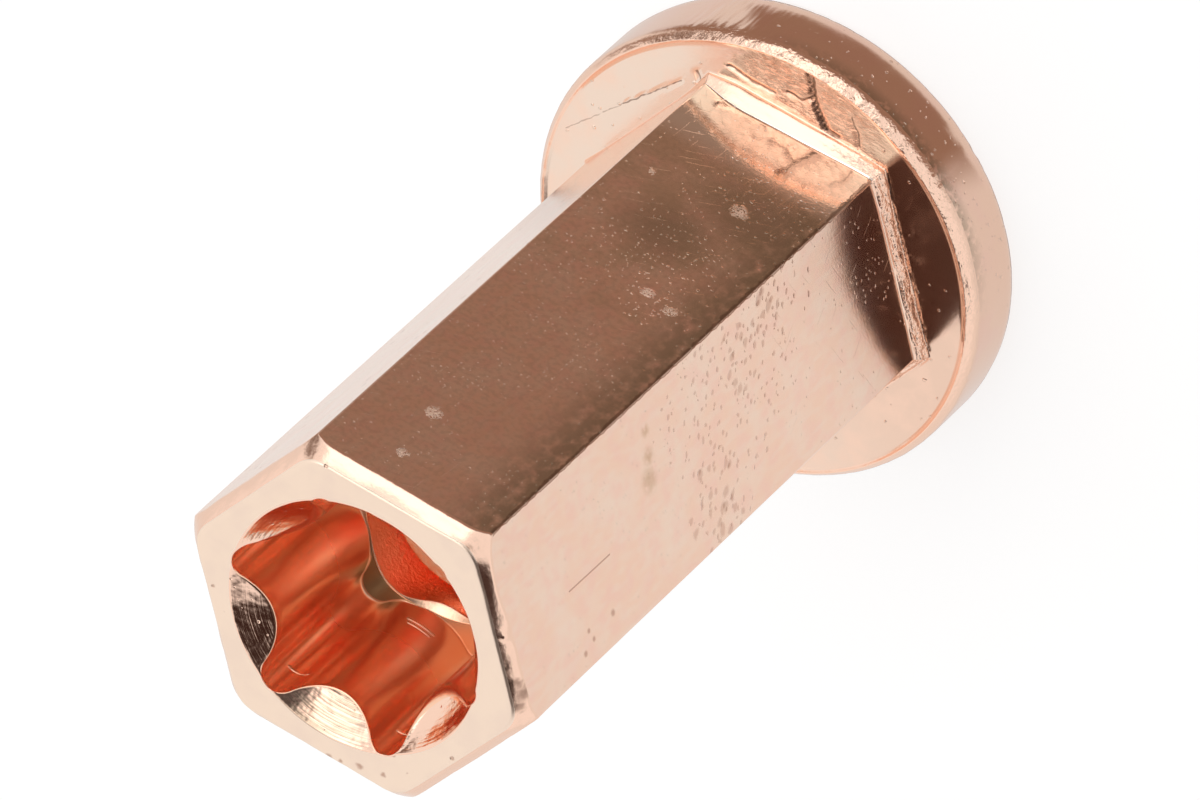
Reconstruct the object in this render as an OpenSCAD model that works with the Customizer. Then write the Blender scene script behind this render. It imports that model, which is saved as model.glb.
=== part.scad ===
// Exhaust flange nut: a long copper-plated hexagon nut forged in one piece with a round flange.
// A six-lobe drive socket opens in the free end, and a threaded hole runs up from the bearing face.
// The bearing face lies on z = 0, the nut's axis is the Z axis, and the lobes point at the corners.

/* [Hexagon] */
// Width across the flats
hex_af = 14; // [13:0.1:15]
// Height from the bearing face to the socket end
nut_h = 35; // [28:0.5:45]
// Width of the bevel along each flat at the socket end, measured across the end face
end_bevel_w = 0.48; // [0.2:0.02:0.6]
// Height of that bevel along the axis
end_bevel_h = 0.6; // [0.3:0.05:1.2]
// How far the turned corner chamfer cuts inside the bevelled corners
corner_cut = 0.2; // [0.05:0.01:0.3]
// How much the long corners are worn back
corner_land = 0.05; // [0.02:0.01:0.2]

/* [Flange] */
// Diameter of the flange
flange_d = 20.4; // [19.5:0.1:26]
// Thickness of the flange at its flat upper face
flange_t = 3.5; // [2.5:0.1:6]
// Rounding of the rim's lower edge
rim_low_r = 0.5; // [0.2:0.05:1]
// Rounding of the rim's upper edge
rim_top_r = 0.4; // [0.2:0.05:1]
// Height of the pressed-up lip along the upper edge
lip_h = 0.14; // [0.05:0.01:0.3]
// Width of the lip's inner slope
lip_w = 0.22; // [0.1:0.01:0.5]

/* [Foot bead] */
// Reach of the folded bead out from the flats, at the foot of the hexagon
bead_w = 0.4; // [0.2:0.05:0.6]
// Height of the bead above the flange
bead_h = 0.8; // [0.4:0.05:1.2]
// Height of the bead's upright edge
bead_edge_h = 0.2; // [0.1:0.05:0.3]

/* [Drive socket] */
// Diameter over the lobes
socket_a = 11.35; // [10.6:0.05:11.6]
// Diameter between the ridges
socket_b = 8.05; // [7.8:0.05:8.3]
// Rounding of each lobe's tip
lobe_r = 0.8; // [0.7:0.02:0.9]
// Depth of the lobes from the socket end
socket_depth = 7.6; // [5:0.1:10]
// Depth of the turned dish where it meets the ridges
dish_depth = 1.2; // [0.3:0.05:1.6]
// How far the dish reaches past the lobes at the end face
dish_over = 0.05; // [0.02:0.01:0.15]

/* [Hole] */
// Nominal diameter of the stud thread
thread_d = 8; // [6:0.5:9]
// Pitch of the stud thread
thread_pitch = 1.25; // [0.75:0.25:1.5]
// How far the entry chamfer opens past the thread at the bearing face
entry_over = 0.3; // [0.1:0.05:0.6]
// How far the plain bore below the socket lies inside the ridges
bore_inset = 0.08; // [0.04:0.01:0.12]
// Length of that plain bore
bore_len = 1.8; // [1:0.1:6]

/* [Hidden] */
copper = [0.85, 0.55, 0.42];
smooth = 96;
arc_steps = 8;
overlap = 0.1;
sides = 6;
half_step = 180 / sides;
// Depth of an internal metric thread, as a share of its pitch
thread_depth_share = 5 / 8 * cos(30);
hex_r = hex_af / 2 / cos(half_step);
flange_r = flange_d / 2;
lobe_at = socket_a / 2 - lobe_r;
ridge_at = socket_b / 2;
// The ridges are a little fuller than tangent to the lobes, so that the two arcs cross
ridge_ease = 0.01;
ridge_r = ridge_ease
    + (lobe_r ^ 2 - ridge_at ^ 2 - lobe_at ^ 2 + 2 * lobe_at * ridge_at * cos(half_step))
    / (2 * (ridge_at - lobe_at * cos(half_step) - lobe_r));
socket_floor = nut_h - socket_depth;
bore_floor = socket_floor - bore_len;

// Point at a radius and an angle
function polar(r, a) = r * [cos(a), sin(a)];

// Points along an arc about a centre, from one angle to another
function arc(centre, r, from, to) =
    [for (i = [0 : arc_steps]) centre + polar(r, from + (to - from) * i / arc_steps)];

// Space outside six planes that lean in over the flats: each meets its flat's reach at a level
module flat_bevels(reach, level, slope) {
    tool = 2 * hex_af;
    for (i = [0 : sides - 1])
        rotate([0, 0, (2 * i + 1) * half_step])
            translate([reach, 0, level])
                rotate([0, -atan(slope), 0])
                    translate([0, -tool / 2, -tool / 2])
                        cube(tool);
}

// Hexagon shank: long corners worn to narrow lands, free end bevelled along the flats and corners
module shank() {
    slope = end_bevel_w / end_bevel_h;
    land_r = hex_r - corner_land;
    end_r = (hex_af / 2 - end_bevel_w) / cos(half_step) - corner_cut;
    difference() {
        intersection() {
            cylinder(r = hex_r, h = nut_h, $fn = sides);
            rotate_extrude($fn = smooth)
                polygon([
                    [0, 0],
                    [land_r, 0],
                    [land_r, nut_h - (land_r - end_r) / slope],
                    [end_r, nut_h],
                    [0, nut_h]
                ]);
        }
        flat_bevels(hex_af / 2, nut_h - end_bevel_h, slope);
    }
}

// Flange turned about the axis, with a rounded rim and a low lip along its upper edge
module flange() {
    lip_at = flange_r - rim_top_r;
    rotate_extrude($fn = smooth)
        polygon(concat(
            [[0, 0]],
            arc([flange_r - rim_low_r, rim_low_r], rim_low_r, -90, 0),
            arc([lip_at, flange_t + lip_h - rim_top_r], rim_top_r, 0, 90),
            [[lip_at - lip_w, flange_t], [0, flange_t]]
        ));
}

// Folded bead round the foot of the hexagon, leaning in to the flats above its upright edge
module foot_bead() {
    reach = hex_af / 2 + bead_w;
    difference() {
        cylinder(r = reach / cos(half_step), h = flange_t + bead_h, $fn = sides);
        flat_bevels(reach, flange_t + bead_edge_h, bead_w / (bead_h - bead_edge_h));
    }
}

// Outline of the socket: lobes at the hexagon's corners, with round ridges between them
module six_lobe() {
    difference() {
        polygon([for (i = [0 : 2 * sides - 1])
            polar(i % 2 == 0 ? lobe_at : ridge_at + ridge_r, i * half_step)]);
        for (i = [0 : sides - 1])
            translate(polar(ridge_at + ridge_r, (2 * i + 1) * half_step))
                circle(r = ridge_r, $fn = smooth);
    }
    for (i = [0 : sides - 1])
        translate(polar(lobe_at, 2 * i * half_step))
            circle(r = lobe_r, $fn = smooth);
}

// Drive socket and the dish turned in its mouth
module socket() {
    dish_r = socket_a / 2 + dish_over;
    dish_slope = (dish_r - ridge_at) / dish_depth;
    translate([0, 0, socket_floor])
        linear_extrude(height = socket_depth + overlap)
            six_lobe();
    translate([0, 0, nut_h - dish_depth])
        cylinder(r1 = ridge_at, r2 = dish_r + overlap * dish_slope, h = dish_depth + overlap, $fn = smooth);
}

// Entry chamfer, thread hole, cone and plain bore, from the bearing face up to the socket
module hole() {
    minor_r = thread_d / 2 - thread_depth_share * thread_pitch;
    entry_r = thread_d / 2 + entry_over;
    bore_r = ridge_at - bore_inset;
    rotate_extrude($fn = smooth)
        polygon([
            [0, -overlap],
            [entry_r + overlap, -overlap],
            [minor_r, entry_r - minor_r],
            [minor_r, bore_floor - (bore_r - minor_r)],
            [bore_r, bore_floor],
            [bore_r, socket_floor + overlap],
            [0, socket_floor + overlap]
        ]);
}

module flange_nut() {
    color(copper)
        difference() {
            union() {
                shank();
                flange();
                foot_bead();
            }
            socket();
            hole();
        }
}

flange_nut();
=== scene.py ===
"""Looks of a copper-plated exhaust flange nut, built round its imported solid."""

import math

import bpy
import numpy as np
from mathutils import Matrix, Vector, noise


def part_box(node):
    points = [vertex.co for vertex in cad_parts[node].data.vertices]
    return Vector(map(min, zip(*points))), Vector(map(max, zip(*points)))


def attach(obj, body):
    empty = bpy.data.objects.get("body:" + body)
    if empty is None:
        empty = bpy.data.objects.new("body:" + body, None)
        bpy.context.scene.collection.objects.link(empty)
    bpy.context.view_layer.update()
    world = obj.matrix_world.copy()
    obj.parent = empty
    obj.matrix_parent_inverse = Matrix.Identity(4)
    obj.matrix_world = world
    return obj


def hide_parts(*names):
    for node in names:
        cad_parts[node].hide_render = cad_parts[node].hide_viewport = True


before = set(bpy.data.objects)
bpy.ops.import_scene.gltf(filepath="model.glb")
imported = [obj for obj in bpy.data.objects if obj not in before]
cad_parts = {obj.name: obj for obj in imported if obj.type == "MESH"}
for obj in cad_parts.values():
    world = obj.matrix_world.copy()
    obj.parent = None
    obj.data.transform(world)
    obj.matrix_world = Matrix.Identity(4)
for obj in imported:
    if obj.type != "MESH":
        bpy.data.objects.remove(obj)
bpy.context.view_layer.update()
node_low, node_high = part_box("flange_nut")

# Sizes in millimetres, in the part's frame: bearing face on z = 0, axis on Z, a corner on +X.
# A value for each side of the hexagon is a row of six, from the side that faces 30 degrees.
MM = 0.001
NUT_H = (node_high.z - node_low.z) / MM
FLANGE_R = (node_high.x - node_low.x) / 2 / MM
SIDES = 6
STEP = math.tau / SIDES
HALF_STEP = STEP / 2

# Hexagon shank and its bevelled free end
HEX_REACH = 7.0
CORNER_ROUND = 0.16
BEVEL_SLOPE = 0.8
# One bevel lies flatter about an azimuth: azimuth and spread in degrees, added slope
FLATTER_AT, FLATTER_SPREAD, FLATTER_SLOPE = 46, 14, 0.5
BEVEL_W = (0.42, 0.48, 0.5, 0.5, 0.48, 0.46)
CORNER_CUT = 0.2
BEVEL_BLEND = 0.2

# Flange with its lip
FLANGE_T = 3.5
RIM_LOW_ROUND = 0.5
RIM_BEVEL_W, RIM_BEVEL_H = 0.32, 0.42
LIP_H = 0.14
LIP_W = 0.22

# Folded bead at the hexagon's foot
BEAD_W = (0.26, 0.46, 0.03, 0.14, 0.3, 0.32)
BEAD_H = (0.6, 0.75, 0.04, 0.3, 0.65, 0.65)
BEAD_EDGE_H = (0.3, 0.12, 0.01, 0.08, 0.2, 0.2)
# Share by which the bead rises along its side, towards the next one
BEAD_LEAN = (0.0, 0.28, 0.0, 0.0, 0.0, 0.0)
BEAD_TOP_ROUND = (0.12, 0.1, 0.02, 0.1, 0.2, 0.15)
BEAD_FOOT_ROUND = (0.06, 0.06, 0.02, 0.05, 0.1, 0.08)
BEAD_ROUGHNESS = (1.5, 0.14, 0.0, 0.3, 0.6, 0.8)

# Six-lobe socket with its unevenly dished mouth
LOBE_TIP = 5.675
RIDGE_AT = 4.025
LOBE_R = 0.8
LOBE_AT = LOBE_TIP - LOBE_R
SOCKET_DEPTH = 7.6
SOCKET_FLOOR = NUT_H - SOCKET_DEPTH
# The lobes' tips stand past the dish, which is never narrower than this outside the lobes
DISH_R = LOBE_TIP - 0.07
DISH_LEAST = 0.02
DISH_DEPTH = (2.2, 2.0, 1.78, 0.55, 0.95, 1.4)
DISH_MIDDLE = (0.45, 0.45, 0.4, 0.45, 0.45, 0.48)
DISH_HOLLOW = (0.05, 0.05, 0.05, 0.0, 0.0, 0.24)
DISH_CREST_ROUND = (0.3, 0.3, 0.5, 0.08, 0.08, 0.5)
# Rounding between the socket's walls and its floor
FLOOR_ROUND = 0.13

# Stud thread
THREAD_R = 4.0
THREAD_PITCH = 1.25
THREAD_TIP_R = THREAD_R - 5 / 8 * math.cos(math.radians(30)) * THREAD_PITCH
ENTRY_OVER = 0.3
# Plain bore between the socket and the thread
BORE_R = 3.945
BORE_LEN = 1.8
BORE_FLOOR = SOCKET_FLOOR - BORE_LEN
THREAD_TOP = BORE_FLOOR - (BORE_R - THREAD_TIP_R)
# In one lobe the bore's upper edge flares, the socket's floor stands higher, and the wall leans in
# above it: azimuth and spread in degrees
FLARE_AT, FLARE_SPREAD = 242, 34
FLARE, FLOOR_RISE, WALL_LEAN, LEAN_H = 0.17, 0.27, 0.25, 1.5
# How far outside the ridges the wall leans in fully
LEAN_FULL_AT = 0.4
# Least width of the ledge, and the blend where it narrows to that
LEDGE_LEAST, LEDGE_BLEND = 0.02, 0.08
# Bevel of the bore's upper edge, which reaches in further about an azimuth, as the drill ran off there
EDGE_BEVEL, EDGE_BEVEL_SLOPE = 0.05, 0.55
RUN_OFF, RUN_OFF_AT, RUN_OFF_SPREAD = 0.38, 278, 30

# Columns of the mesh in half a sector, and how they crowd at the corners and the lobes' flanks
HALF_COLUMNS = 36
CORNER_CROWD, CORNER_SPREAD = 6.0, math.radians(0.9)
FLANK_CROWD, FLANK_AT, FLANK_SPREAD = 0.8, math.radians(8), math.radians(3)
ROUND_STEPS = 3

# Camera: the photograph's lens and viewing angle, turned about the line of sight
PHOTO_W = 1200
SENSOR_W = 36.0
FOCAL_PIXELS = 13694
CAMERA_TARGET = (0.60, 1.345, 17.5)
CAMERA_DISTANCE = 543.24
CAMERA_AZIMUTH = math.radians(67.017)
CAMERA_ELEVATION = math.radians(46.891)
CAMERA_ROLL = math.radians(132.83)


def direction(azimuth, elevation):
    """Unit vector at an azimuth from +X and an elevation, both in radians."""
    level = math.cos(elevation)
    return Vector((level * math.cos(azimuth), level * math.sin(azimuth), math.sin(elevation)))


def make_camera():
    """Camera at the photograph's viewing angle."""
    back = direction(CAMERA_AZIMUTH, CAMERA_ELEVATION)
    right = Vector((0, 0, 1)).cross(back).normalized()
    up = back.cross(right)
    turned_up = up * math.cos(CAMERA_ROLL) + right * math.sin(CAMERA_ROLL)
    turned_right = turned_up.cross(back)
    data = bpy.data.cameras.new("camera")
    data.sensor_width = SENSOR_W
    data.lens = SENSOR_W * FOCAL_PIXELS / PHOTO_W
    camera = bpy.data.objects.new("camera", data)
    bpy.context.scene.collection.objects.link(camera)
    turn = Matrix((turned_right, turned_up, back)).transposed().to_4x4()
    place = (Vector(CAMERA_TARGET) + back * CAMERA_DISTANCE) * MM
    camera.matrix_world = Matrix.Translation(place) @ turn
    bpy.context.scene.camera = camera


# The mesh columns and the outlines that they follow

def column_angles():
    """Angles of the mesh columns, closest at the hexagon's corners and round the lobes' flanks."""
    fine = np.linspace(0, HALF_STEP, 4000)
    crowd = (
        1
        + CORNER_CROWD * np.exp(-((fine / CORNER_SPREAD) ** 2))
        + FLANK_CROWD * np.exp(-(((fine - FLANK_AT) / FLANK_SPREAD) ** 2))
    )
    filled = np.cumsum(crowd) - crowd[0]
    half = np.interp(np.linspace(0, filled[-1], HALF_COLUMNS + 1), filled, fine)
    sector = np.concatenate([half, STEP - half[-2:0:-1]])
    return np.concatenate([sector + i * STEP for i in range(SIDES)])


THETA = column_angles()
FROM_CORNER = np.abs((THETA + HALF_STEP) % STEP - HALF_STEP)
FROM_FLAT = HALF_STEP - FROM_CORNER
SIDE = np.floor(THETA / STEP + 1e-9).astype(int) % SIDES


def facing(points, azimuth, spread):
    """1 at an azimuth, easing to 0 at a spread to either side, both in degrees."""
    turn = np.degrees(np.arctan2(points[..., 1], points[..., 0])) - azimuth
    away = np.abs((turn + 180) % 360 - 180) / spread
    near = np.clip(1 - away, 0, 1)
    return near ** 2 * (3 - 2 * near)


def by_side(values, sharpness=1.0):
    """Value at each column: a row of six eased from the middle of one side to the next.
    A higher sharpness keeps each value along its side and eases it nearer to the corners."""
    values = np.array(values)
    turn = THETA / STEP - 0.5
    before = np.floor(turn).astype(int)
    share = np.clip((turn - before - 0.5) * sharpness + 0.5, 0, 1)
    share = share ** 2 * (3 - 2 * share)
    return values[before % SIDES] * (1 - share) + values[(before + 1) % SIDES] * share


def hexagon(reach, rounding=CORNER_ROUND):
    """Radius at each column of a hexagon with rounded corners; reach is from the axis to a flat."""
    flat = reach / np.cos(FROM_FLAT)
    centre = (reach - rounding) / math.cos(HALF_STEP)
    tangent = np.arctan2(rounding * math.sin(HALF_STEP), centre + rounding * math.cos(HALF_STEP))
    inside = np.clip(rounding ** 2 - (centre * np.sin(FROM_CORNER)) ** 2, 0, None)
    corner = centre * np.cos(FROM_CORNER) + np.sqrt(inside)
    return np.where(FROM_CORNER < tangent, corner, flat)


def socket_outline():
    """Radius at each column of the six-lobe outline: round lobes at the corners, ridges between."""
    cos_half = math.cos(HALF_STEP)
    ridge_r = (
        LOBE_R ** 2 - RIDGE_AT ** 2 - LOBE_AT ** 2 + 2 * LOBE_AT * RIDGE_AT * cos_half
    ) / (2 * (RIDGE_AT - LOBE_AT * cos_half - LOBE_R))
    ridge_at = RIDGE_AT + ridge_r
    to_ridge = Vector((ridge_at * cos_half - LOBE_AT, ridge_at * math.sin(HALF_STEP))).normalized()
    meeting = math.atan2(LOBE_R * to_ridge.y, LOBE_AT + LOBE_R * to_ridge.x)
    lobe_in = np.clip(LOBE_R ** 2 - (LOBE_AT * np.sin(FROM_CORNER)) ** 2, 0, None)
    lobe = LOBE_AT * np.cos(FROM_CORNER) + np.sqrt(lobe_in)
    ridge_in = np.clip(ridge_r ** 2 - (ridge_at * np.sin(FROM_FLAT)) ** 2, 0, None)
    ridge = ridge_at * np.cos(FROM_FLAT) - np.sqrt(ridge_in)
    return np.where(FROM_CORNER < meeting, lobe, ridge)


def soft_min(a, b, blend):
    """The smaller of two values, rounded over where they are within the blend of each other."""
    near = np.clip(blend - np.abs(a - b), 0, None) / blend
    return np.minimum(a, b) - near ** 2 * blend / 4


def section():
    """Corners of the nut's section, in order round it: radius, height, rounding, then the finish and
    number of steps of the stretch that leads on from there."""
    wall = hexagon(HEX_REACH)
    around = np.stack([np.cos(THETA), np.sin(THETA)], axis=-1)
    lip_at = FLANGE_R - RIM_BEVEL_W
    lip_z = FLANGE_T + LIP_H

    bead = hexagon(HEX_REACH + by_side(BEAD_W, 2.5))
    along = 2 * (THETA / STEP - SIDE) - 1
    bead_h = by_side(BEAD_H, 2.0) * (1 + by_side(BEAD_LEAN, 3.0) * along)
    bead_edge_h = by_side(BEAD_EDGE_H, 3.0)
    bead_top_round = by_side(BEAD_TOP_ROUND, 3.0)
    bead_foot_round = by_side(BEAD_FOOT_ROUND, 3.0)

    bevel_w = by_side(BEVEL_W, 2.0)
    end_r = (HEX_REACH - bevel_w) / math.cos(HALF_STEP) - CORNER_CUT
    end = soft_min(hexagon(HEX_REACH - bevel_w), end_r, BEVEL_BLEND)
    slope = BEVEL_SLOPE + FLATTER_SLOPE * facing(around, FLATTER_AT, FLATTER_SPREAD)
    bevel_z = soft_min(NUT_H - bevel_w / slope, NUT_H - (wall - end_r) / slope, BEVEL_BLEND)

    lobes = socket_outline()
    dish_r = np.maximum(DISH_R, lobes + DISH_LEAST)
    drop = by_side(DISH_DEPTH, 2.5) * (dish_r - lobes) / (DISH_R - RIDGE_AT)
    middle = by_side(DISH_MIDDLE, 2.5)
    dish_middle_r = dish_r + (lobes - dish_r) * middle
    dish_middle_z = NUT_H - drop * (middle + by_side(DISH_HOLLOW, 2.5))
    crest_round = by_side(DISH_CREST_ROUND, 2.5)

    flare = facing(around, FLARE_AT, FLARE_SPREAD)
    foot_r = lobes - WALL_LEAN * flare * np.clip((lobes - RIDGE_AT) / LEAN_FULL_AT, 0, 1)
    floor_z = SOCKET_FLOOR + FLOOR_RISE * flare
    edge_r = soft_min(BORE_R + EDGE_BEVEL + FLARE * flare, foot_r - LEDGE_LEAST, LEDGE_BLEND)
    edge_bevel = EDGE_BEVEL + RUN_OFF * facing(around, RUN_OFF_AT, RUN_OFF_SPREAD)
    floor_round = np.minimum(FLOOR_ROUND, (foot_r - edge_r) / 2)
    return [
        (THREAD_R + ENTRY_OVER, 0, 0.05, "underside", 5),
        (FLANGE_R, 0, RIM_LOW_ROUND, "rim", 9),
        (FLANGE_R, lip_z - RIM_BEVEL_H, 0.2, "lip", 3),
        (lip_at, lip_z, 0.04, "lip", 3),
        (lip_at - LIP_W, FLANGE_T, 0.1, "flange_face", 22),
        (bead, FLANGE_T, bead_foot_round, "bead", 2),
        (bead, FLANGE_T + bead_edge_h, 0.12, "bead", 6),
        (wall, FLANGE_T + bead_h, bead_top_round, "flat", 52),
        (wall, bevel_z, 0.1, "bevel", 3),
        (end, NUT_H, 0.1, "end_face", 9),
        (dish_r, NUT_H, 0.05, "dish", 4),
        (dish_middle_r, dish_middle_z, 1.0, "dish", 4),
        (lobes, NUT_H - drop, crest_round, "socket", 9),
        (lobes, floor_z + LEAN_H, 1.2, "socket", 4),
        (foot_r, floor_z, floor_round, "socket", 1),
        (foot_r - floor_round, floor_z, 0.01, "ledge", 2),
        (edge_r, floor_z, 0.03, "run_off", 2),
        (edge_r - edge_bevel, floor_z - edge_bevel * EDGE_BEVEL_SLOPE, 0.04, "bore", 3),
        (BORE_R, BORE_FLOOR, 0.03, "bore", 2),
        (THREAD_TIP_R, THREAD_TOP, 0.03, "bore", 2),
        (THREAD_R, THREAD_TOP - (THREAD_R - THREAD_TIP_R), 0.03, "thread", 6),
        (THREAD_R, ENTRY_OVER, 0.03, "underside", 2),
    ]


def rings_of(corners):
    """Rings of the mesh along a closed section: each corner rounded, each stretch in steps.
    Gives the rings' radii and heights, a row for each ring, and the finish of each ring."""
    shape = THETA.shape
    points = [np.stack([np.broadcast_to(r, shape), np.broadcast_to(z, shape)]) for r, z, *_ in corners]
    rows, finishes = [], []
    count = len(points)
    longest_round = 0.45

    def towards(a, b, reach):
        length = np.linalg.norm(b - a, axis=0)
        return a + (b - a) * np.minimum(reach / np.maximum(length, 1e-6), longest_round)

    for i, (_, _, rounding, finish, steps) in enumerate(corners):
        here, before, after = points[i], points[i - 1], points[(i + 1) % count]
        start = towards(here, before, rounding)
        end = towards(here, after, rounding)
        for k in range(ROUND_STEPS):
            t = k / ROUND_STEPS
            rows.append(start * (1 - t) ** 2 + here * 2 * t * (1 - t) + end * t ** 2)
            finishes.append(finish)
        last = towards(after, here, corners[(i + 1) % count][2])
        for k in range(steps):
            rows.append(end + (last - end) * k / steps)
            finishes.append(finish)
    stacked = np.array(rows)
    return stacked[:, 0], stacked[:, 1], finishes


# Wear and forging marks, as moves of the mesh along its normals

# Parts that are more worn or tinted, some of them with painted shade, as azimuth and spread in degrees
RIM_DENTS = (60, 70)
RIM_WORN = (58, 62)
RIM_TARNISHED = (60, 48)
RIM_RUBBED = (113, 16)
LIP_RAGGED = (65, 85)
LIP_TORN = (65, 95)
FLANGE_FOLDED = (92, 34)
FLANGE_SHADED = (20, 110)
FLANGE_RED = (88, 40)
FLANGE_TORN = (88, 30)
BEAD_TORN = (25, 60)
BEVEL_DARKENED = (25, 45)
DISH_PAINTED_SHADE = (268, 28)

# Creases in the flange's upper face: points in x and y, half width, depth, darkness of the painted shade
# along it
CREASES = [
    (((0.0, 9.62), (0.42, 8.75), (0.68, 8.36), (1.42, 7.6), (1.9, 7.58)), 0.1, 0.14, 0.85),
    (((0.42, 8.75), (-0.08, 8.31), (-0.8, 8.33)), 0.07, 0.07, 0.85),
    (((-3.45, 8.05), (-2.3, 7.9), (-1.25, 7.95)), 0.08, 0.09, 0.8),
    (((-5.2, 6.14), (-7.3, 3.6)), 0.05, 0.05, 0.7),
    (((-7.3, 3.6), (-9.37, 1.01)), 0.04, 0.03, 0.4),
    (((-4.7, 6.95), (-4.2, 6.5)), 0.09, 0.09, 0.7),
    (((2.2, 8.75), (2.7, 8.2), (2.9, 7.7)), 0.06, 0.05, 0.7),
]
# The folded part of that face sinks outwards from a radius
FOLD_FROM, FOLD_SLOPE = 7.5, 0.09
# Burr on the bevel of the side that faces 30 degrees: place across the side, height, radius, rise
BURR_ACROSS, BURR_Z, BURR_R, BURR_RISE = -0.08, 34.72, 0.22, 0.16


def rough(points, size, octaves=3):
    """Smooth noise from about -1 to 1 at points in millimetres, with lumps of about the given size."""
    flat = (points / size).reshape(-1, 3).tolist()
    values = [noise.fractal(p, 1.0, 2.0, octaves) for p in flat]
    return np.array(values).reshape(points.shape[:-1])


def along_sides(points):
    """Points in the frame of the side that each column is on: across the side, out from the axis, up."""
    angle = STEP * SIDE + HALF_STEP
    across = points[..., 1] * np.cos(angle) - points[..., 0] * np.sin(angle)
    out = points[..., 0] * np.cos(angle) + points[..., 1] * np.sin(angle)
    return np.stack([across, out, points[..., 2]], axis=-1)


def crease_depth(points):
    """Depth of the creases at points of the flange's face."""
    depth = np.zeros(points.shape[:-1])
    here = points[..., :2]
    for route, width, deep, _ in CREASES:
        for a, b in zip(route[:-1], route[1:]):
            a, b = np.array(a), np.array(b)
            share = np.clip((here - a) @ (b - a) / ((b - a) @ (b - a)), 0, 1)
            away = np.linalg.norm(here - a - share[..., None] * (b - a), axis=-1)
            depth = np.maximum(depth, deep * np.exp(-((away / width) ** 2)))
    return depth


def rim_wear(points):
    dents = np.clip(rough(points, 0.8) - 0.15, 0, None) * facing(points, *RIM_DENTS)
    return -0.004 - 0.004 * rough(points, 3.0) - 0.06 * dents


def lip_wear(points):
    ragged = 0.2 + 0.8 * facing(points, *LIP_RAGGED)
    return 0.05 * ragged * rough(points, 0.4) - 0.01


def flange_face_wear(points):
    folded = facing(points, *FLANGE_FOLDED)
    lumps = 0.02 * folded * rough(points, 0.4) + 0.006 * rough(points, 2.5)
    sunk = FOLD_SLOPE * folded * np.clip(np.hypot(points[..., 0], points[..., 1]) - FOLD_FROM, 0, None)
    return lumps - sunk - crease_depth(points)


def bead_wear(points):
    side = along_sides(points)
    stretched = side * np.array([0.35, 1.6, 1.6]) + SIDE[:, None] * 7.0
    return 0.07 * by_side(BEAD_ROUGHNESS, 3.0) * rough(stretched, 0.4)


def flat_wear(points):
    return 0.006 * rough(points * np.array([1, 1, 0.35]), 1.6)


def bevel_wear(points):
    side = along_sides(points)
    burr_away = np.hypot(side[..., 0] - BURR_ACROSS, side[..., 2] - BURR_Z) / BURR_R
    burr = np.where(SIDE == 0, BURR_RISE * np.exp(-burr_away ** 2), 0)
    return 0.03 * rough(points, 4.0) + 0.02 * rough(points, 0.9) + burr


def end_face_wear(points):
    return -0.012 + 0.012 * np.clip(rough(points, 1.1), -1, 1)


def dish_wear(points):
    return 0.012 * rough(points, 0.8)


WEAR = {
    "rim": rim_wear,
    "lip": lip_wear,
    "flange_face": flange_face_wear,
    "bead": bead_wear,
    "flat": flat_wear,
    "bevel": bevel_wear,
    "end_face": end_face_wear,
    "dish": dish_wear,
}


def grid_normals(points):
    """Outward normals at the points of a grid that closes on itself both ways."""
    along = np.roll(points, -1, axis=1) - np.roll(points, 1, axis=1)
    up = np.roll(points, -1, axis=0) - np.roll(points, 1, axis=0)
    normals = np.cross(along, up)
    return normals / np.maximum(np.linalg.norm(normals, axis=-1, keepdims=True), 1e-9)


def worn(points, finishes):
    """The rings' points, moved by the wear of their finish and kept inside the part's box."""
    normals = grid_normals(points)
    moved = points.copy()
    finishes = np.array(finishes)
    for finish, wear in WEAR.items():
        rows = np.flatnonzero(finishes == finish)
        moved[rows] += normals[rows] * wear(points[rows])[..., None]
    reach = np.linalg.norm(moved[..., :2], axis=-1, keepdims=True)
    moved[..., :2] *= np.minimum(1, FLANGE_R / reach)
    moved[..., 2] = np.clip(moved[..., 2], 0, NUT_H)
    return moved


def mesh_object(name, points, faces):
    """Smooth-shaded mesh object from points in millimetres."""
    mesh = bpy.data.meshes.new(name)
    mesh.from_pydata((points * MM).tolist(), [], faces)
    mesh.shade_smooth()
    made = bpy.data.objects.new(name, mesh)
    bpy.context.scene.collection.objects.link(made)
    return made


def grid_faces(rows, columns, close_rows=True):
    """Quads of a grid that closes on itself round its columns, and along its rows if asked."""
    first = np.arange(rows * columns).reshape(rows, columns)
    right = np.roll(first, -1, axis=1)
    above = np.roll(first, -1, axis=0)
    corner = np.roll(right, -1, axis=0)
    faces = np.stack([first, right, corner, above], axis=-1)
    if not close_rows:
        faces = faces[:-1]
    return faces.reshape(-1, 4).tolist()


def make_nut():
    """The nut as one closed mesh of rings and columns, with a material for each finish."""
    radius, height, finishes = rings_of(section())
    points = np.stack([radius * np.cos(THETA), radius * np.sin(THETA), height], axis=-1)
    points = worn(points, finishes)
    rows, columns = radius.shape
    nut = mesh_object("nut", points.reshape(-1, 3), grid_faces(rows, columns))
    names = list(FINISHES)
    for name in names:
        nut.data.materials.append(FINISHES[name])
    flats = np.array([names.index(name) for name in FLAT_FINISHES])[SIDE]
    index = [flats if f == "flat" else np.full(columns, names.index(f)) for f in finishes]
    nut.data.polygons.foreach_set("material_index", np.concatenate(index).astype(np.int32))
    return nut


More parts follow.
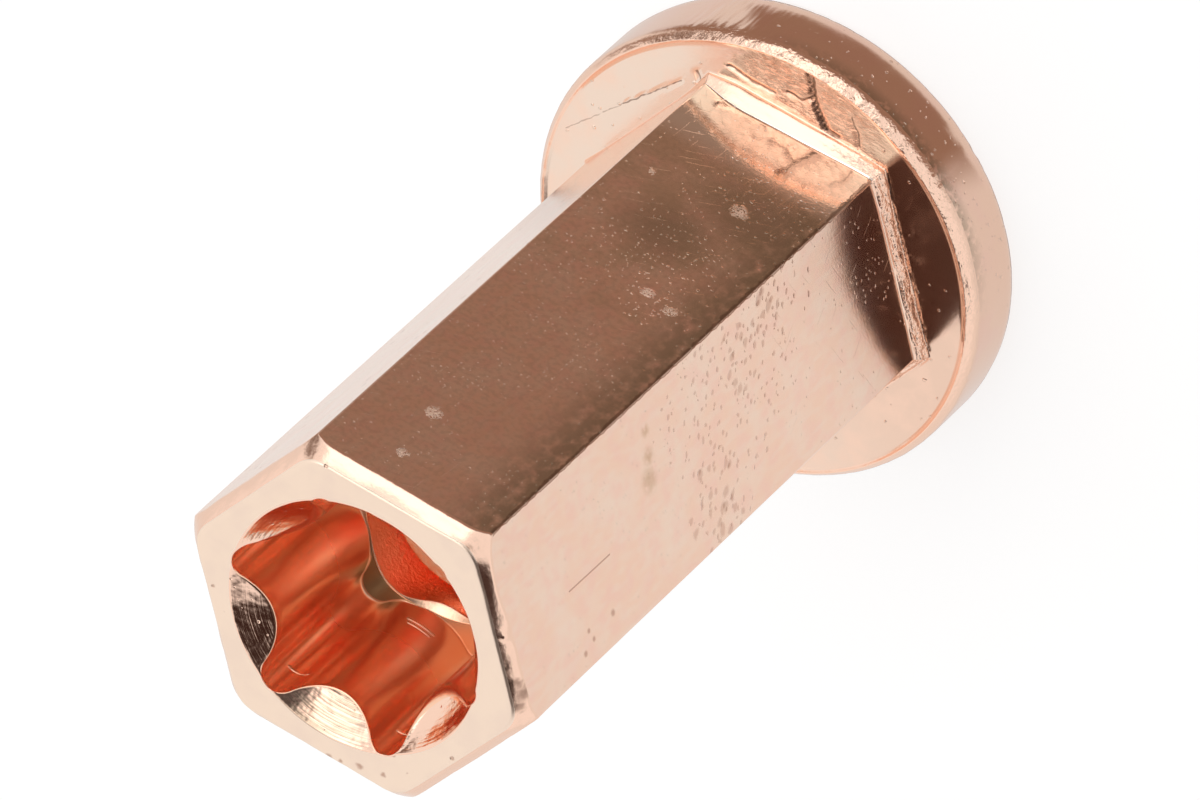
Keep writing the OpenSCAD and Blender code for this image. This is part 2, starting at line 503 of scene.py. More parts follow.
def make_thread():
    """Ridge of the stud thread: a closed helix that stands on the wall of the hole."""
    turn_steps = 72
    embed = 0.02
    first_z, last_z = 0.9, THREAD_TOP - 1.6
    fade_turns = 0.4
    crest_half, base_half = THREAD_PITCH / 8, THREAD_PITCH * 7 / 16
    turns = (last_z - first_z) / THREAD_PITCH
    count = round(turns * turn_steps) + 1
    turn = np.linspace(0, turns, count)
    fade = np.clip(np.minimum(turn, turns - turn) / fade_turns, 0.02, 1)
    base_r = THREAD_R + embed
    tip_r = THREAD_R - (THREAD_R - THREAD_TIP_R) * fade
    middle = first_z + turn * THREAD_PITCH
    profile = [
        (base_r, -base_half * fade),
        (base_r, base_half * fade),
        (tip_r, crest_half * fade),
        (tip_r, -crest_half * fade),
    ]
    angle = turn * math.tau
    corners = [
        np.stack([r * np.cos(angle), r * np.sin(angle), middle + rise], axis=-1) for r, rise in profile
    ]
    points = np.stack(corners, axis=1)
    faces = grid_faces(count, len(profile), close_rows=False)
    last = (count - 1) * len(profile)
    faces.append([3, 2, 1, 0])
    faces.append([last, last + 1, last + 2, last + 3])
    thread = mesh_object("stud_thread", points.reshape(-1, 3), faces)
    thread.data.shade_flat()
    thread.data.materials.append(FINISHES["thread"])
    return thread


# Materials

COPPER = (0.95, 0.645, 0.50, 1)
PINK_COPPER = (0.95, 0.61, 0.50, 1)
RED_COPPER = (0.88, 0.53, 0.39, 1)
PALE_COPPER = (0.93, 0.72, 0.59, 1)
BEIGE_COPPER = (0.88, 0.69, 0.565, 1)
# Colour of the painted shade on the flange face
SHADED_COPPER = (0.84, 0.585, 0.455, 1)
END_COPPER = (0.925, 0.73, 0.585, 1)
DEEP_COPPER = (0.98, 0.615, 0.43, 1)
GREY_COPPER = (0.76, 0.57, 0.42, 1)
DULL_COPPER = (0.93, 0.53, 0.35, 1)
# Pale colour of a flat's foot: a painted reflection of the flange
PAINTED_FOOT_REFLECTION = (0.97, 0.86, 0.76, 1)
BARE = (0.44, 0.38, 0.25, 1)
BROWN = (0.42, 0.22, 0.15, 1)
DARK_BROWN = (0.16, 0.08, 0.05, 1)
STAIN = (0.55, 0.34, 0.19, 1)
# Tarnish, also the colour of painted shade on the flat that faces 90 degrees and in the dish
TARNISH_AND_SHADE = (0.40, 0.32, 0.23, 1)


class Graph:
    """Adds nodes to a node tree and joins them."""

    def __init__(self, tree):
        self.tree = tree
        tree.nodes.clear()

    def add(self, kind, inputs=None, **settings):
        node = self.tree.nodes.new("ShaderNode" + kind)
        for name, value in settings.items():
            setattr(node, name, value)
        for name, value in (inputs or {}).items():
            self.join(node.inputs[name], value)
        return node

    def join(self, socket, value):
        if isinstance(value, bpy.types.NodeSocket):
            self.tree.links.new(value, socket)
        else:
            socket.default_value = value

    def math(self, operation, a, b=0.0, c=0.0):
        node = self.add("Math", operation=operation)
        for socket, value in zip(node.inputs, (a, b, c)):
            self.join(socket, value)
        return node.outputs[0]

    def vector(self, operation, a, b=(0, 0, 0)):
        node = self.add("VectorMath", {0: a, 1: b}, operation=operation)
        return node.outputs["Value" if operation in ("DOT_PRODUCT", "DISTANCE", "LENGTH") else 0]

    def band(self, value, low, high):
        """0 up to the low value, 1 from the high one, eased between them; low may be the greater."""
        inputs = {"Value": value, "From Min": low, "From Max": high}
        return self.add("MapRange", inputs, interpolation_type="SMOOTHSTEP").outputs[0]

    def mix(self, share, a, b):
        return self.add("MixRGB", {"Fac": share, "Color1": a, "Color2": b}).outputs[0]

    def both(self, *masks):
        result = masks[0]
        for mask in masks[1:]:
            result = self.math("MULTIPLY", result, mask)
        return result


class Finish(Graph):
    """A copper finish, built up from layers over the bare plating. Places are in millimetres."""

    def __init__(self, name, colour=COPPER, roughness=0.15):
        self.material = bpy.data.materials.new(name)
        self.material.use_nodes = True
        super().__init__(self.material.node_tree)
        self.colour = colour
        self.roughness = roughness
        self.normal = None
        self.place = self.vector("MULTIPLY", self.add("TexCoord").outputs["Object"], (1 / MM,) * 3)

    def done(self):
        inputs = {"Base Color": self.colour, "Metallic": 1.0, "Roughness": self.roughness}
        if self.normal is not None:
            inputs["Normal"] = self.normal
        shader = self.add("BsdfPrincipled", inputs)
        self.add("OutputMaterial", {"Surface": shader.outputs[0]})
        return self.material

    # Places

    def on_side(self, angle):
        """Place on the side that faces an angle in degrees: across it, then along the axis."""
        turn = math.radians(angle)
        across = self.vector("DOT_PRODUCT", self.place, (-math.sin(turn), math.cos(turn), 0))
        up = self.add("SeparateXYZ", {0: self.place}).outputs["Z"]
        return self.add("CombineXYZ", {"X": across, "Y": up}).outputs[0]

    def turned(self):
        """Place as radius, azimuth in radians and height."""
        parts = self.add("SeparateXYZ", {0: self.place})
        level = self.vector("LENGTH", self.vector("MULTIPLY", self.place, (1, 1, 0)))
        azimuth = self.math("ARCTAN2", parts.outputs["Y"], parts.outputs["X"])
        inputs = {"X": level, "Y": azimuth, "Z": parts.outputs["Z"]}
        return self.add("CombineXYZ", inputs).outputs[0]

    def scaled(self, place, per_mm):
        return self.vector("MULTIPLY", place, per_mm)

    def warped(self, place, per_mm, reach):
        """Place pushed about by noise, so that round marks come out uneven."""
        inputs = {"Vector": place, "Scale": per_mm, "Detail": 1.0}
        push = self.vector("SUBTRACT", self.add("TexNoise", inputs).outputs["Color"], (0.5, 0.5, 0.5))
        return self.vector("ADD", place, self.vector("MULTIPLY", push, (reach,) * 3))

    def rotated(self, place, angle):
        inputs = {"Vector": place, "Angle": math.radians(angle)}
        return self.add("VectorRotate", inputs, rotation_type="Z_AXIS").outputs[0]

    def facing(self, azimuth, spread):
        """1 at an azimuth, easing to 0 at a spread to either side, both in degrees."""
        level = self.vector("NORMALIZE", self.vector("MULTIPLY", self.place, (1, 1, 0)))
        along = self.vector("DOT_PRODUCT", level, tuple(direction(math.radians(azimuth), 0)))
        return self.band(along, math.cos(math.radians(spread)), 1.0)

    # Masks from 0 to 1

    def noise(self, place, detail=2.0):
        inputs = {"Vector": place, "Scale": 1.0, "Detail": detail}
        return self.add("TexNoise", inputs).outputs[0]

    def dots(self, place, per_mm, share, size, dimensions="2D"):
        """Scattered dots: a share of the cells of a grid hold one, of up to a size in millimetres."""
        inputs = {"Vector": place, "Scale": per_mm}
        cells = self.add("TexVoronoi", inputs, voronoi_dimensions=dimensions)
        lots = self.add("SeparateColor", {0: cells.outputs["Color"]}).outputs
        chosen = self.math("LESS_THAN", lots["Red"], share)
        full = size * per_mm
        edge = self.math("MULTIPLY_ADD", lots["Green"], full * 0.6, full * 0.4)
        dot = self.band(cells.outputs["Distance"], edge, self.math("MULTIPLY", edge, 0.45))
        return self.both(dot, chosen)

    def spots(self, place, centres, softness=0.5):
        """Soft round spots, each given by two coordinates and a radius."""
        mask = None
        for x, y, radius in centres:
            away = self.vector("DISTANCE", place, (x, y, 0))
            spot = self.band(away, radius * (1 + softness), radius * (1 - softness))
            mask = spot if mask is None else self.math("MAXIMUM", mask, spot)
        return mask

    def line(self, place, start, end, width):
        """A thin line between two points."""
        start, end = Vector((*start, 0)), Vector((*end, 0))
        run = end - start
        past = self.vector("SUBTRACT", place, tuple(start))
        share = self.vector("DOT_PRODUCT", past, tuple(run / run.length_squared))
        share = self.math("MINIMUM", self.math("MAXIMUM", share, 0.0), 1.0)
        nearest = self.add("VectorMath", {0: tuple(run), "Scale": share}, operation="SCALE").outputs[0]
        return self.band(self.vector("DISTANCE", past, nearest), width, width * 0.3)

    def route(self, place, points, width):
        """A thin line along a row of points."""
        mask = None
        for start, end in zip(points[:-1], points[1:]):
            line = self.line(place, start, end, width)
            mask = line if mask is None else self.math("MAXIMUM", mask, line)
        return mask

    def scratches(self, place, angle, length, width, share):
        """Short scratches at an angle in degrees: streaks of stretched noise."""
        stretched = self.scaled(self.rotated(place, angle), (1 / width, 1 / length, 1))
        low = 0.80 - share
        return self.band(self.noise(stretched, 0.0), low, low + 0.05)

    # Layers

    def tint(self, mask, colour, amount=1.0):
        share = mask if amount == 1.0 else self.math("MULTIPLY", mask, amount)
        self.colour = self.mix(share, self.colour, colour)

    def dull(self, mask, change):
        self.roughness = self.math("MULTIPLY_ADD", mask, change, self.roughness)

    def emboss(self, height, rise):
        """Raises the surface by a height map times a rise in millimetres; a negative rise sinks it."""
        inputs = {"Height": height, "Distance": abs(rise) * MM, "Strength": 1.0}
        if self.normal is not None:
            inputs["Normal"] = self.normal
        self.normal = self.add("Bump", inputs, invert=rise < 0).outputs[0]


def grain(finish, place, per_mm, rise):
    """Fine grain of the plating."""
    finish.emboss(finish.noise(finish.scaled(place, (per_mm,) * 3), 3.0), rise)


def mottle(finish, place, per_mm, colour, amount):
    """Clouds of another tone."""
    clouds = finish.noise(finish.scaled(place, (per_mm,) * 3), 3.0)
    finish.tint(finish.band(clouds, 0.42, 0.66), colour, amount)


CORNER_ACROSS = HEX_REACH * math.tan(HALF_STEP)


def drawn_flat(name, angle, speck_share, scratch_share, roughness=0.14):
    """A cold-drawn flat: lines along the axis, grain, specks and scratches."""
    finish = Finish(name, COPPER, roughness)
    spot = finish.on_side(angle)
    mottle(finish, spot, 0.3, PALE_COPPER, 0.6)
    mottle(finish, spot, 1.1, PINK_COPPER, 0.6)
    mottle(finish, finish.scaled(spot, (1, 0.3, 1)), 2.6, PALE_COPPER, 0.35)
    finish.dull(finish.noise(finish.scaled(spot, (0.6, 0.3, 1)), 3.0), 0.08)
    finish.emboss(finish.noise(finish.scaled(spot, (4, 0.1, 1)), 2.0), 0.003)
    grain(finish, spot, 7, 0.003)
    for tilt in (4, -32, 61):
        finish.emboss(finish.scratches(spot, tilt, 2.2, 0.09, scratch_share), -0.0025)
    clusters = finish.band(finish.noise(finish.scaled(spot, (0.3, 0.3, 1)), 1.0), 0.4, 0.62)
    specks = finish.dots(finish.warped(spot, 6, 0.12), 4.2, finish.both(clusters, speck_share), 0.07)
    finish.emboss(specks, -0.012)
    return finish, spot


def nick_edge(finish, spot, side, width, amount):
    """Dark, uneven line along one long edge of a flat: side is -1 or 1 across it."""
    across = finish.vector("DOT_PRODUCT", finish.warped(spot, 2.6, width * 1.6), (side, 0, 0))
    edge = finish.band(across, CORNER_ACROSS - width, CORNER_ACROSS - width * 0.5)
    finish.tint(edge, DARK_BROWN, amount)
    finish.emboss(edge, -0.02)


# Marks on the side that faces 30 degrees: place across it, height, radius
PIT_FIELD_COARSE = [(-2.3, 19.2, 1.9), (3.4, 13.4, 1.1), (2.0, 15.6, 1.2)]
PIT_FIELD_FINE = [(1.2, 16.2, 3.4), (-1.6, 18.6, 2.4), (3.2, 12.0, 1.8), (1.4, 20.4, 2.0)]
BROWN_STAINS = [(0.71, 23.4, 0.42), (1.6, 23.1, 0.3), (2.64, 22.9, 0.22)]
FOOT_SPECKS = [(2.4, 5.6, 0.9), (1.6, 6.8, 0.7), (0.2, 5.6, 1.4)]
DARK_BLOBS = [(-2.81, 27.8, 0.13), (-2.64, 29.6, 0.1), (-3.1, 29.4, 0.1), (-3.36, 30.15, 0.12)]
LONG_SCRATCH = ((-0.57, 30.2), (-0.6, 27.1))


def pitted_flat():
    """The flat that faces 30 degrees: pale, with fields of pits and a few stains."""
    finish, spot = drawn_flat("pitted_flat", 30, 0.1, 0.015)
    uneven = finish.warped(spot, 2.2, 0.3)
    fields = ((PIT_FIELD_COARSE, 1.6, 0.85, 0.32), (PIT_FIELD_FINE, 2.6, 0.5, 0.15))
    slanted = finish.scaled(finish.rotated(uneven, -45), (1.25, 0.8, 1))
    for centres, per_mm, share, size in fields:
        field = finish.spots(spot, centres)
        pits = finish.dots(slanted, per_mm, finish.both(field, share), size)
        finish.tint(pits, BROWN, 0.3)
        finish.dull(pits, 0.2)
        finish.emboss(pits, -0.011)
    foot_specks = finish.both(finish.spots(spot, FOOT_SPECKS, 0.9), 0.25)
    finish.emboss(finish.dots(finish.warped(spot, 5, 0.15), 4.0, foot_specks, 0.08), 0.01)
    nick_edge(finish, spot, 1, 0.1, 0.5)
    cloudy = finish.band(finish.noise(finish.scaled(spot, (3, 3, 1)), 3.0), 0.2, 0.6)
    finish.tint(finish.both(finish.spots(spot, BROWN_STAINS, 0.9), cloudy), STAIN, 0.6)
    finish.tint(finish.spots(spot, DARK_BLOBS, 0.6), BROWN, 0.6)
    scratch = finish.line(spot, *LONG_SCRATCH, 0.05)
    finish.tint(scratch, BROWN, 0.7)
    finish.emboss(scratch, -0.01)
    return finish.done()


# Scuffs on the side that faces 90 degrees: place across it, height, radius
SCUFFS = [
    (-1.15, 9.9, 0.34),
    (-1.0, 17.0, 0.24),
    (-2.27, 17.35, 0.24),
    (1.05, 32.6, 0.22),
    (2.75, 10.4, 0.16),
    (1.36, 29.6, 0.3),
]
# Patches of painted shade on that side: place across it, height, radius
PAINTED_SHADE_PATCHES = [(-1.6, 9.8, 2.0), (0.4, 13.2, 1.8)]
SPECK_FIELD = [(-0.2, 14.8, 2.6), (-1.6, 8.6, 2.0), (-1.4, 17.4, 1.2)]
# Heights between which that side's foot, painted pale as a painted reflection of the flange, gives way
# to the dulled part
FOOT_TO, DULLED_FROM = 6.6, 8.2


def scuffed_flat():
    """The flat that faces 90 degrees: scratched and scuffed, with painted shade, and its foot painted
    pale as a painted reflection.
    """
    finish, spot = drawn_flat("scuffed_flat", 90, 0.22, 0.06, 0.04)
    height = finish.vector("DOT_PRODUCT", spot, (0, 1, 0))
    cloudy = finish.noise(finish.scaled(spot, (0.5, 0.5, 1)), 4.0)
    greyed = finish.band(finish.math("MULTIPLY_ADD", height, -0.02, cloudy), 0.1, 0.4)
    above_foot = finish.band(height, FOOT_TO, DULLED_FROM)
    finish.tint(finish.both(greyed, above_foot), GREY_COPPER, 0.8)
    across = finish.vector("DOT_PRODUCT", spot, (-1, 0, 0))
    fine = finish.noise(finish.scaled(spot, (2.2, 1.4, 1)), 5.0)
    # Painted shade: the flat darker towards one long edge, above the foot
    painted_shade_by_edge = finish.both(finish.band(across, 1.2, CORNER_ACROSS), finish.band(fine, 0.2, 0.6))
    finish.tint(finish.both(painted_shade_by_edge, above_foot), TARNISH_AND_SHADE, 0.85)
    mottle(finish, spot, 4.0, TARNISH_AND_SHADE, 0.14)
    # Painted reflection: the foot, where the flange mirrors in the flat, painted pale
    finish.tint(finish.band(height, DULLED_FROM, FOOT_TO), PAINTED_FOOT_REFLECTION)
    # Painted shade in patches above the foot
    finish.tint(finish.both(finish.spots(spot, PAINTED_SHADE_PATCHES, 0.8), above_foot), TARNISH_AND_SHADE, 0.6)
    finish.dull(above_foot, 0.1)
    torn = finish.band(finish.noise(finish.scaled(spot, (8, 8, 1)), 3.0), 0.42, 0.52)
    scuffs = finish.both(finish.spots(finish.warped(spot, 3.5, 0.4), SCUFFS, 0.5), torn)
    finish.tint(scuffs, PALE_COPPER)
    finish.dull(scuffs, 0.5)
    finish.emboss(scuffs, 0.05)
    field = finish.both(finish.spots(spot, SPECK_FIELD, 0.9), 0.28)
    finish.emboss(finish.dots(finish.warped(spot, 5, 0.2), 5.0, field, 0.07), 0.025)
    nick_edge(finish, spot, -1, 0.16, 0.55)
    return finish.done()


def plain_flat(name, angle):
    """A flat with drawing lines, specks and light scratches."""
    finish, spot = drawn_flat(name, angle, 0.15, 0.03)
    pits = finish.dots(spot, 1.7, 0.04, 0.2)
    finish.tint(pits, BROWN, 0.4)
    finish.emboss(pits, -0.02)
    return finish.done()


def rim_finish():
    finish = Finish("rim", COPPER, 0.17)
    ring = finish.turned()
    mottle(finish, finish.place, 0.5, PINK_COPPER, 0.5)
    grain(finish, finish.place, 6, 0.003)
    around = finish.scaled(ring, (0, 12, 1.6))
    finish.emboss(finish.noise(around, 2.0), 0.006)
    worn_part = finish.facing(*RIM_WORN)
    uneven = finish.warped(finish.place, 4, 0.25)
    specks = finish.dots(uneven, 3.6, finish.both(worn_part, 0.45), 0.09, "3D")
    finish.emboss(specks, -0.03)
    height = finish.vector("DOT_PRODUCT", finish.place, (0, 0, 1))
    under_lip = finish.both(finish.band(height, 2.1, 3.1), finish.facing(*RIM_TARNISHED))
    blotched = finish.band(finish.noise(finish.scaled(finish.place, (3, 3, 3)), 4.0), 0.3, 0.55)
    finish.tint(finish.both(under_lip, blotched), TARNISH_AND_SHADE, 0.75)
    flecks = finish.dots(uneven, 5.0, finish.both(under_lip, 0.4), 0.07, "3D")
    finish.emboss(flecks, 0.04)
    rubbed = finish.facing(*RIM_RUBBED)
    finish.emboss(finish.both(finish.noise(finish.scaled(ring, (0, 24, 0.5)), 1.0), rubbed), 0.08)
    return finish.done()


def lip_finish():
    finish = Finish("lip", COPPER, 0.18)
    ragged = finish.facing(*LIP_TORN)
    torn = finish.noise(finish.scaled(finish.place, (4, 4, 4)), 3.0)
    finish.emboss(finish.both(torn, ragged), 0.06)
    grain(finish, finish.place, 8, 0.004)
    return finish.done()


def flange_face_finish():
    """Upper face of the flange: smooth, but torn and creased where the metal folded over."""
    finish = Finish("flange_face", BEIGE_COPPER, 0.16)
    level = finish.vector("MULTIPLY", finish.place, (1, 1, 0))
    # Painted shade: the flange face darker over one side
    finish.tint(finish.facing(*FLANGE_SHADED), SHADED_COPPER)
    finish.tint(finish.facing(*FLANGE_RED), RED_COPPER)
    mottle(finish, level, 0.5, COPPER, 0.5)
    grain(finish, level, 6, 0.002)
    folded = finish.facing(*FLANGE_TORN)
    torn = finish.noise(finish.scaled(level, (2.4, 6.5, 1)), 4.0)
    finish.emboss(finish.both(torn, folded), 0.03)
    # Brown in the torn, folded part: partly the torn metal, partly painted shade
    finish.tint(finish.both(folded, finish.band(torn, 0.7, 0.35)), BROWN, 0.4)
    uneven = finish.warped(level, 2.5, 0.14)
    # Painted shade along the creases
    for route, width, _, darkness in CREASES:
        finish.tint(finish.route(uneven, route, width), DARK_BROWN, darkness)
    specks = finish.dots(finish.warped(level, 5, 0.15), 2.8, 0.08, 0.09)
    finish.emboss(specks, 0.02)
    return finish.done()


def bead_finish():
    finish = Finish("bead", COPPER, 0.2)
    torn = finish.noise(finish.scaled(finish.place, (5, 5, 5)), 3.0)
    finish.emboss(finish.both(torn, finish.facing(*BEAD_TORN)), 0.12)
    grain(finish, finish.place, 8, 0.006)
    return finish.done()


# Dark brown spots on the bevel of the side that faces 30 degrees: place across it, height, radius
BEVEL_DARK_SPOTS = [(-2.2, 34.75, 0.22), (-2.7, 34.6, 0.3), (-3.2, 34.8, 0.2), (-1.4, 34.85, 0.14)]


def bevel_finish():
    finish = Finish("bevel", COPPER, 0.2)
    grain(finish, finish.place, 5, 0.008)
    finish.emboss(finish.noise(finish.scaled(finish.place, (1.2, 1.2, 3)), 2.0), 0.02)
    spot = finish.on_side(30)
    dark_spots = finish.spots(finish.warped(spot, 3, 0.5), BEVEL_DARK_SPOTS, 0.7)
    finish.tint(finish.both(dark_spots, finish.facing(*BEVEL_DARKENED)), DARK_BROWN, 0.7)
    return finish.done()


# Brown specks on the end face: x, y, radius
END_SPECKS = [(0.52, -6.55, 0.12), (1.05, -6.42, 0.09), (1.89, -6.15, 0.13), (2.92, -5.9, 0.1)]


def end_face_finish():
    finish = Finish("end_face", END_COPPER, 0.3)
    mottle(finish, finish.place, 0.6, BEIGE_COPPER, 0.7)
    grain(finish, finish.place, 5, 0.004)
    specks = finish.dots(finish.place, 1.3, 0.16, 0.16, "3D")
    finish.tint(specks, BROWN, 0.6)
    finish.emboss(specks, -0.02)
    level = finish.vector("MULTIPLY", finish.place, (1, 1, 0))
    finish.tint(finish.spots(finish.warped(level, 4, 0.2), END_SPECKS, 0.7), BROWN, 0.7)
    return finish.done()


def dish_finish():
    """Turned dish: fine rings about the axis, broken up along their length, with painted shade streaked
    along them in one part.
    """
    finish = Finish("dish", COPPER, 0.12)
    rings = finish.scaled(finish.turned(), (11, 1.3, 0))
    turned = finish.noise(rings, 3.0)
    finish.emboss(turned, 0.011)
    # Painted shade in one part, streaked along the turned rings
    finish.tint(finish.both(finish.band(turned, 0.6, 0.4), finish.facing(*DISH_PAINTED_SHADE)), TARNISH_AND_SHADE, 0.8)
    finish.emboss(finish.noise(finish.scaled(finish.place, (1.6, 1.6, 1.6)), 2.0), 0.03)
    specks = finish.dots(finish.place, 4.0, 0.12, 0.09, "3D")
    finish.emboss(specks, -0.02)
    return finish.done()


# Short marks round the socket's wall: first and last azimuth in degrees, height
RING_MARKS = [(-96, -79, 28.4), (-94, -80, 28.62), (-64.5, -59, 33.3), (-119, -112, 33.35)]
MARK_W, MARK_RISE = 0.07, 0.09
# By the flare the wall swells out towards the floor: heights over the floor, spread in degrees, swell
SWELL_FROM, SWELL_TO, SWELL_SPREAD, SWELL = 3.6, -1.4, 60, 0.68


def socket_finish():
    """Pressed walls: streaks along the axis, and short marks round them."""
    finish = Finish("socket", DEEP_COPPER, 0.24)
    streaks = finish.scaled(finish.place, (2.2, 2.2, 0.1))
    finish.emboss(finish.noise(streaks, 2.0), 0.008)
    finish.emboss(finish.noise(finish.scaled(finish.place, (0.5, 0.5, 0.4)), 1.0), 0.03)
    grain(finish, finish.place, 6, 0.002)
    parts = finish.add("SeparateXYZ", {0: finish.turned()}).outputs
    finish.dull(finish.band(parts["Z"], NUT_H - 3, SOCKET_FLOOR + 1), 0.05)
    by_floor = finish.band(parts["Z"], SOCKET_FLOOR + SWELL_FROM, SOCKET_FLOOR + SWELL_TO)
    finish.emboss(finish.both(by_floor, by_floor, finish.facing(FLARE_AT, SWELL_SPREAD)), SWELL)
    round_wall = finish.math("MULTIPLY", parts["Y"], RIDGE_AT)
    unrolled = finish.add("CombineXYZ", {"X": round_wall, "Y": parts["Z"]}).outputs[0]
    for first, last, height in RING_MARKS:
        start = (math.radians(first) * RIDGE_AT, height)
        end = (math.radians(last) * RIDGE_AT, height)
        finish.emboss(finish.line(unrolled, start, end, MARK_W), MARK_RISE)
    return finish.done()


def hollow_finish(name, colour, roughness, grain_rise=0.003, bare=None):
    """Ledge, bore and thread, deep in the nut; the plating may be missing about an azimuth."""
    finish = Finish(name, colour, roughness)
    if bare is not None:
        finish.tint(finish.band(finish.facing(bare, FLARE_SPREAD), 0.0, 0.4), BARE)
    around = finish.scaled(finish.turned(), (2, 1, 3))
    finish.emboss(finish.noise(around, 2.0), 0.008)
    grain(finish, finish.place, 7, grain_rise)
    return finish.done()


def underside_finish():
    """Bearing face: faint turned rings and rubbed patches."""
    finish = Finish("underside", COPPER, 0.24)
    mottle(finish, finish.place, 0.4, PINK_COPPER, 0.6)
    finish.emboss(finish.noise(finish.scaled(finish.turned(), (4, 0.6, 0)), 2.0), 0.006)
    grain(finish, finish.place, 5, 0.003)
    specks = finish.dots(finish.place, 1.5, 0.1, 0.16, "3D")
    finish.emboss(specks, -0.02)
    return finish.done()


FLAT_FINISHES = ["flat_30", "flat_90", "flat_150", "flat_210", "flat_270", "flat_330"]
FINISHES = {
    "flat_30": pitted_flat(),
    "flat_90": scuffed_flat(),
    "flat_150": plain_flat("flat_150", 150),
    "flat_210": plain_flat("flat_210", 210),
    "flat_270": plain_flat("flat_270", 270),
    "flat_330": plain_flat("flat_330", 330),
    "rim": rim_finish(),
    "lip": lip_finish(),
    "flange_face": flange_face_finish(),
    "bead": bead_finish(),
    "bevel": bevel_finish(),
    "end_face": end_face_finish(),
    "dish": dish_finish(),
    "socket": socket_finish(),
    "ledge": hollow_finish("ledge", DEEP_COPPER, 0.4, bare=FLARE_AT),
    "run_off": hollow_finish("run_off", DEEP_COPPER, 0.2),
    "bore": hollow_finish("bore", DULL_COPPER, 0.34, 0.03),
    "thread": hollow_finish("thread", DEEP_COPPER, 0.24),
    "underside": underside_finish(),
}


# Studio

FLOOR_SIZE = 3000
FLOOR_GAP = 0.02
WHITE = (1, 1, 1, 1)
# Soft areas of the surroundings: azimuth, elevation, radius of the full area, softness, brightness
AREAS = [
    (-10, 51, 20, 7, (0.04, 0.015, 0.01, 1)),
    (-45, 70, 15, 6, (0.04, 0.02, 0.015, 1)),
    (118, 60, 11, 4, (0.12, 0.06, 0.045, 1)),
    (148, 70, 14, 7, (2.2, 2.15, 2.1, 1)),
    (45, 73, 16, 6, (0.12, 0.1, 0.1, 1)),
    (107, 22, 15, 6, (2.0, 1.95, 1.9, 1)),
    (67, 47, 7, 3, (0.12, 0.09, 0.06, 1)),
    (160, 7, 11, 4, (0.2, 0.14, 0.11, 1)),
    (113, 47, 6, 3, (1.1, 1.3, 1.35, 1)),
]


def make_world():
    world = bpy.data.worlds.new("studio")
    bpy.context.scene.world = world
    world.use_nodes = True
    graph = Graph(world.node_tree)
    way = graph.add("TexCoord").outputs["Generated"]
    colour = WHITE
    for azimuth, elevation, radius, softness, shade in AREAS:
        centre = direction(math.radians(azimuth), math.radians(elevation))
        along = graph.vector("DOT_PRODUCT", way, tuple(centre))
        outer = math.cos(math.radians(radius + softness))
        inner = math.cos(math.radians(radius - softness))
        colour = graph.mix(graph.band(along, outer, inner), colour, shade)
    seen = graph.add("LightPath").outputs["Is Camera Ray"]
    light = graph.add("Background", {"Color": graph.mix(seen, colour, WHITE), "Strength": 1.0})
    graph.add("OutputWorld", {"Surface": light.outputs[0]})


PALE_FLOOR = (0.87, 0.87, 0.86, 1)
SHADED_FLOOR = (0.76, 0.75, 0.74, 1)
SHADED_TO, OPEN_FROM = 12, 17
# The floor as it shows itself: its own grey, and its glow
FLOOR_GREY = (0.35, 0.35, 0.35, 1)
FLOOR_GLOW = 0.73
# Light that comes up through the nut's hole
HOLE_GLOW = (7, 7, 7, 1)
# Colour of the floor's dark part, which only reflections show: a painted dark reflection
DARK_FLOOR = (0.30, 0.195, 0.145, 1)
# Dark part of the floor that only the metal's reflections show, a painted dark reflection: azimuth, and
# angles to its soft edge and its core
DARK_AZIMUTH, DARK_EDGE, DARK_CORE = 97, 58, 42
DARK_FROM, DARK_TO = 10.6, 11.0
# Close to the rim it reaches less far round: azimuth, soft edge and core, then where that ends
DARK_BY_RIM = (70, 50, 45)
FURTHER_FROM, FURTHER_TO = 11.8, 12.2
# The same further off, to one side
FAR_AZIMUTH, FAR_EDGE, FAR_CORE, FAR_FROM, FAR_TO = 166, 16, 8, 16, 30


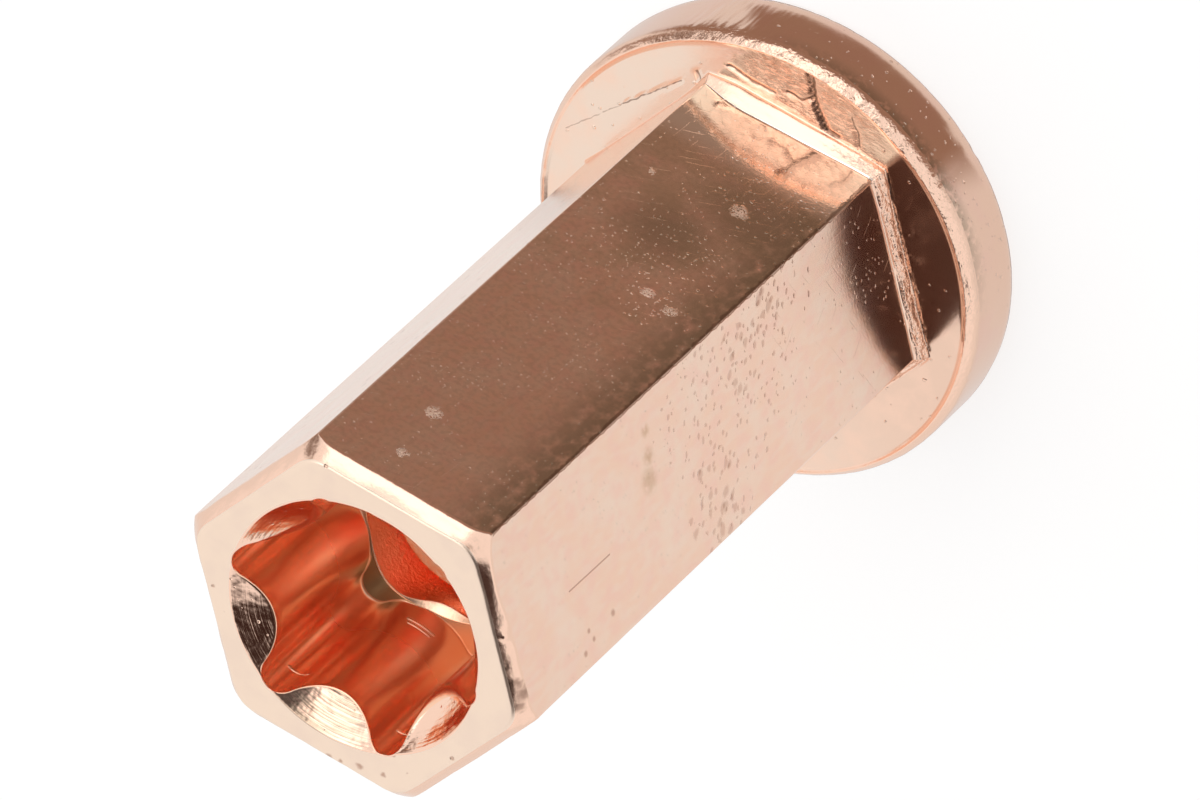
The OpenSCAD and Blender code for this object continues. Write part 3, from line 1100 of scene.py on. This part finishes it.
def make_floor():
    half = FLOOR_SIZE / 2
    square = ((-half, -half), (half, -half), (half, half), (-half, half))
    corners = np.array([(x, y, -FLOOR_GAP) for x, y in square])
    floor = mesh_object("floor", corners, [(0, 1, 2, 3)])
    material = bpy.data.materials.new("floor")
    material.use_nodes = True
    graph = Graph(material.node_tree)
    level = graph.vector("MULTIPLY", graph.add("NewGeometry").outputs["Position"], (1 / MM, 1 / MM, 0))
    outward = graph.vector("NORMALIZE", level)

    def sector(azimuth, edge, core):
        along = graph.vector("DOT_PRODUCT", outward, tuple(direction(math.radians(azimuth), 0)))
        return graph.band(along, math.cos(math.radians(edge)), math.cos(math.radians(core)))

    away = graph.vector("LENGTH", level)
    far = graph.band(away, FAR_FROM, FAR_TO)
    far_sector = graph.both(sector(FAR_AZIMUTH, FAR_EDGE, FAR_CORE), far)
    off_rim = graph.band(away, DARK_FROM, DARK_TO)
    further = graph.band(away, FURTHER_FROM, FURTHER_TO)
    in_reach = graph.math("MAXIMUM", further, sector(*DARK_BY_RIM))
    near_sector = graph.both(sector(DARK_AZIMUTH, DARK_EDGE, DARK_CORE), off_rim, in_reach)
    # Painted dark reflection: parts of the floor that are dark only to glossy rays
    dark = graph.math("MAXIMUM", near_sector, far_sector)
    open_floor = graph.band(away, SHADED_TO, OPEN_FROM)
    pale = graph.mix(open_floor, SHADED_FLOOR, PALE_FLOOR)
    pale = graph.mix(graph.band(away, FLANGE_R, THREAD_R), pale, HOLE_GLOW)
    mirrored = graph.add("Emission", {"Color": graph.mix(dark, pale, DARK_FLOOR), "Strength": 1.0})
    matt = graph.add("BsdfDiffuse", {"Color": FLOOR_GREY})
    glow = graph.add("Emission", {"Color": WHITE, "Strength": FLOOR_GLOW})
    plain = graph.add("AddShader", {0: matt.outputs[0], 1: glow.outputs[0]})
    glossy = graph.add("LightPath").outputs["Is Glossy Ray"]
    shown = graph.add("MixShader", {"Fac": glossy, 1: plain.outputs[0], 2: mirrored.outputs[0]})
    graph.add("OutputMaterial", {"Surface": shown.outputs[0]})
    floor.data.materials.append(material)


# Light bounces, enough for the depths of the socket and the hole
BOUNCES = 16

make_camera()
nut = make_nut()
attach(nut, "root")
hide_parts("flange_nut")
thread = make_thread()
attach(thread, "root")
make_world()
make_floor()

scene = bpy.context.scene
scene.view_settings.view_transform = "Standard"
scene.cycles.max_bounces = BOUNCES
scene.cycles.glossy_bounces = BOUNCES
